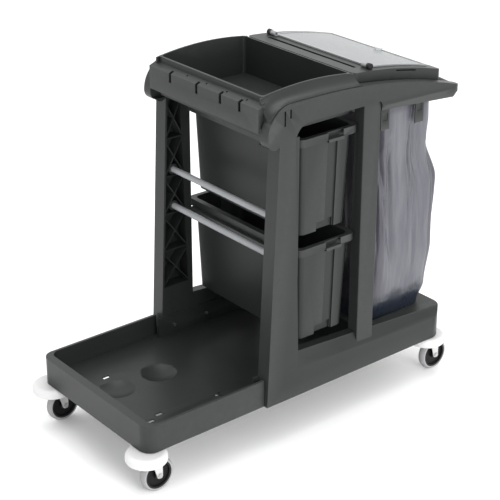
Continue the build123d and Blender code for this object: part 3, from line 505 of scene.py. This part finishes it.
def clipBoxes(nodeName):
    # the two clips of a node, told apart by their place along X
    verts = [v.co for v in nodes[nodeName].data.vertices]
    split = (min(v.x for v in verts) + max(v.x for v in verts)) / 2
    boxes = []
    for group in ([v for v in verts if v.x < split], [v for v in verts if v.x >= split]):
        boxes.append((Vector([min(v[i] for v in group) for i in range(3)]),
                      Vector([max(v[i] for v in group) for i in range(3)])))
    return boxes


for nodeName, outward in (("bag_clips_left", -1), ("bag_clips_right", 1)):
    clearSelection()
    clips = [makeClip(low, high, outward) for low, high in clipBoxes(nodeName)]
    clipPair = joinAll(clips, "clips_" + nodeName[10:])
    paint(clipPair, cartPlastic)
    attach(clipPair, "cart")
    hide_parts(nodeName)
print("bag clips made")


# waste bag
bagShape = {"around": 480, "rows": 190, "folds": 40, "foldDepth": 0.012, "crumple": 0.004, "fine": 0.0008,
            "fanFolds": 6, "fanDepth": 0.012, "fanSpread": 0.030, "fanStart": 0.008,
            "fadeIn": 0.25, "fadeOut": 0.12, "foldPower": 1.4, "sunk": 0.35,
            "crumpleGrain": (9, 4), "fineGrain": (45, 12), "heldBand": 0.05, "floorGive": 0.25,
            "floorRings": 8, "floorLift": 0.0012, "floorGrain": 22, "cornersCut": 0.12}


def bagProfile(t):
    # front, rear, half width and corner radius of the bag at a height from 0 at its floor to 1 at its hem
    bottom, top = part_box("waste_bag")
    low, high = bottom.x, top.x
    knots = [(0.0, 0.014, 0.050, 0.201, 0.05), (0.09, 0.010, 0.024, 0.210, 0.06),
             (0.30, 0.008, 0.005, 0.220, 0.07), (0.57, 0.005, 0.002, 0.223, 0.075),
             (0.76, 0.008, 0.047, 0.212, 0.05), (1.0, 0.012, 0.058, 0.210, 0.035)]
    for (t0, *a), (t1, *b) in zip(knots, knots[1:]):
        if t <= t1:
            mix = (t - t0) / (t1 - t0)
            mix = mix * mix * (3 - 2 * mix)
            front, rear, half, radius = [p + (q - p) * mix for p, q in zip(a, b)]
            return low + front, high - rear, half, radius
    return low + knots[-1][1], high - knots[-1][2], knots[-1][3], knots[-1][4]


def roundedRing(front, rear, half, radius, count):
    # even points round a rounded rectangle, with their outward directions
    length, width = rear - front - 2 * radius, 2 * half - 2 * radius
    arc = radius * math.pi / 2
    total = 2 * (length + width) + 4 * arc
    corners = [(rear - radius, -half + radius, -90), (rear - radius, half - radius, 0),
               (front + radius, half - radius, 90), (front + radius, -half + radius, 180)]
    sides = [width, length, width, length]
    ring = []
    for i in range(count):
        d = i / count * total
        for (cx, cy, start), side in zip(corners, sides):
            if d < arc:
                a = math.radians(start + 90 * d / arc)
                ring.append((Vector((cx + radius * math.cos(a), cy + radius * math.sin(a), 0)),
                             Vector((math.cos(a), math.sin(a), 0))))
                break
            d -= arc
            if d < side:
                a = math.radians(start + 90)
                out = Vector((math.cos(a), math.sin(a), 0))
                along = Vector((-out.y, out.x, 0))
                ring.append((Vector((cx, cy, 0)) + out * radius + along * d, out))
                break
            d -= side
    return ring


def makeWasteBag():
    chance = random.Random(11)
    low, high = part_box("waste_bag")
    count, rows = bagShape["around"], bagShape["rows"]
    folds = []
    # folds at random places round the bag, some broad and some narrow
    for i in range(bagShape["folds"]):
        folds.append({"start": chance.random(), "lean": chance.uniform(-0.05, 0.05),
                      "width": chance.uniform(0.006, 0.017),
                      "depth": bagShape["foldDepth"] * chance.uniform(0.35, 1.0),
                      "from": chance.uniform(0.0, 0.3), "to": chance.uniform(0.78, 0.90),
                      "curve": chance.uniform(-0.03, 0.03)})
    ringTop = roundedRing(*bagProfile(1.0), count)
    # and a fan of narrow ones that spreads from each clip
    for nodeName in ("bag_clips_left", "bag_clips_right"):
        for clipLow, clipHigh in clipBoxes(nodeName):
            hold = Vector(((clipLow.x + clipHigh.x) / 2, (clipLow.y + clipHigh.y) / 2, 0))
            nearest = min(range(count), key=lambda i: (ringTop[i][0] - hold).length)
            for i in range(bagShape["fanFolds"]):
                spread = (i / (bagShape["fanFolds"] - 1) - 0.5) * 2
                folds.append({"start": nearest / count + spread * bagShape["fanStart"],
                              "width": chance.uniform(0.006, 0.012),
                              "lean": spread * bagShape["fanSpread"] * chance.uniform(0.8, 1.2),
                              "depth": bagShape["fanDepth"] * chance.uniform(0.45, 1.0),
                              "from": chance.uniform(0.10, 0.45), "to": 0.97,
                              "curve": chance.uniform(-0.006, 0.006)})
    crumpleAcross, crumpleDown = bagShape["crumpleGrain"]
    fineAcross, fineDown = bagShape["fineGrain"]
    band = bagShape["heldBand"]
    verts, faces = [], []
    for row in range(rows + 1):
        t = row / rows
        z = low.z + (high.z - low.z) * t
        front, rear, half, radius = bagProfile(t)
        for i, (point, out) in enumerate(roundedRing(front, rear, half, radius, count)):
            s = i / count
            push = 0.0
            for fold in folds:
                centre = fold["start"] + fold["lean"] * (1 - t) + fold["curve"] * math.sin(math.pi * t)
                away = (s - centre + 0.5) % 1.0 - 0.5
                across = abs(away) / (fold["width"] * (1.5 - 0.7 * t))
                if across < 1:
                    fadeIn = min(1, max(0, (t - fold["from"]) / bagShape["fadeIn"]))
                    fadeOut = min(1, max(0, (fold["to"] - t) / bagShape["fadeOut"]))
                    push -= fold["depth"] * (fadeIn * fadeOut) * (1 - across) ** bagShape["foldPower"]
            place = Vector((point.x * crumpleAcross, point.y * crumpleAcross, z * crumpleDown))
            push += bagShape["crumple"] * (noise.noise(place) - bagShape["sunk"])
            place = Vector((point.x * fineAcross, point.y * fineAcross, z * fineDown))
            push += bagShape["fine"] * noise.noise(place)
            pinned = min(1, (1 - t) / band) * min(1, bagShape["floorGive"] + t / band)
            spot = point + out * min(0, push) * pinned
            verts.append((spot.x, spot.y, z))
    for row in range(rows):
        for i in range(count):
            j = (i + 1) % count
            faces.append((row * count + i, row * count + j, (row + 1) * count + j, (row + 1) * count + i))
    # the floor of the bag is drawn in ring by ring
    rings = bagShape["floorRings"]
    lift = bagShape["floorLift"]
    centre = Vector((sum(v[0] for v in verts[:count]) / count, 0, low.z))
    previous = list(range(count))
    for ring in range(1, rings):
        share = 1 - ring / rings
        current = []
        for i in range(count):
            spot = centre.lerp(Vector(verts[i]), share)
            place = Vector((spot.x * bagShape["floorGrain"], spot.y * bagShape["floorGrain"], 3))
            current.append(len(verts))
            verts.append((spot.x, spot.y, low.z + lift * (1 + noise.noise(place))))
        for i in range(count):
            j = (i + 1) % count
            faces.append((previous[i], current[i], current[j], previous[j]))
        previous = current
    verts.append((centre.x, centre.y, low.z + lift))
    for i in range(count):
        faces.append((previous[i], len(verts) - 1, previous[(i + 1) % count]))
    mesh = bpy.data.meshes.new("wasteBagFilm")
    mesh.from_pydata(verts, [], faces)
    bag = bpy.data.objects.new("waste_bag_film", mesh)
    bpy.context.scene.collection.objects.link(bag)
    pickOnly(bag)
    bpy.ops.object.mode_set(mode="EDIT")
    bpy.ops.mesh.select_all(action="SELECT")
    bpy.ops.mesh.normals_make_consistent(inside=False)
    bpy.ops.object.mode_set(mode="OBJECT")
    bpy.ops.object.shade_smooth()
    return bag


wasteBag = makeWasteBag()
paint(wasteBag, bagFilm)
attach(wasteBag, "cart")
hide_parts("waste_bag")


# floor, light and camera
clearSelection()
studio = {"floorSize": 14.0, "floorColour": (0.97, 0.97, 0.97), "floorRough": 0.7,
          "worldColour": (1.0, 1.0, 1.0), "worldStrength": 1.12}

bpy.ops.mesh.primitive_plane_add(size=studio["floorSize"], location=(0, 0, 0))
floor = bpy.context.active_object
floor.name = "studio_floor"
floorPaint, _, floorShader = newMaterial("studioFloor")
floorShader.inputs["Roughness"].default_value = studio["floorRough"]
floorShader.inputs["Base Color"].default_value = (*studio["floorColour"], 1.0)
paint(floor, floorPaint)

bpy.context.scene.view_settings.view_transform = "Standard"  # keeps the paper backdrop white
world = bpy.data.worlds.new("studioWorld")
bpy.context.scene.world = world
world.use_nodes = True
world.node_tree.nodes["Background"].inputs["Color"].default_value = (*studio["worldColour"], 1.0)
world.node_tree.nodes["Background"].inputs["Strength"].default_value = studio["worldStrength"]

studioLights = [
    {"name": "keyLight", "place": (-0.4, -3.9, 1.7), "aim": (-0.1, 0.0, 0.4), "size": 2.0, "power": 110.0},
    {"name": "fillLight", "place": (-3.4, 1.0, 2.0), "aim": (0.0, 0.0, 0.5), "size": 2.6, "power": 5.0},
    {"name": "topLight", "place": (0.3, 0.3, 3.8), "aim": (0.0, 0.0, 0.6), "size": 3.0, "power": 78.0},
]
for light in studioLights:
    lamp = bpy.data.lights.new(light["name"], "AREA")
    lamp.size = light["size"]
    lamp.energy = light["power"]
    lampObject = bpy.data.objects.new(light["name"], lamp)
    lampObject.location = light["place"]
    aim = Vector(light["aim"]) - Vector(light["place"])
    lampObject.rotation_euler = aim.to_track_quat("-Z", "Y").to_euler()
    bpy.context.scene.collection.objects.link(lampObject)

cameraSetup = {"place": (-2.3480, -2.8908, 2.2134), "aim": (0.0074, 0.0, 0.4686), "lens": 104.39,
               "sensor": 36.0, "reach": 60.0}
cameraData = bpy.data.cameras.new("studioCamera")
cameraData.lens = cameraSetup["lens"]
cameraData.sensor_width = cameraSetup["sensor"]
cameraData.clip_end = cameraSetup["reach"]
studioCamera = bpy.data.objects.new("studioCamera", cameraData)
studioCamera.location = cameraSetup["place"]
aim = Vector(cameraSetup["aim"]) - Vector(cameraSetup["place"])
studioCamera.rotation_euler = aim.to_track_quat("-Z", "Y").to_euler()
bpy.context.scene.collection.objects.link(studioCamera)
bpy.context.scene.camera = studioCamera
print("studio set")
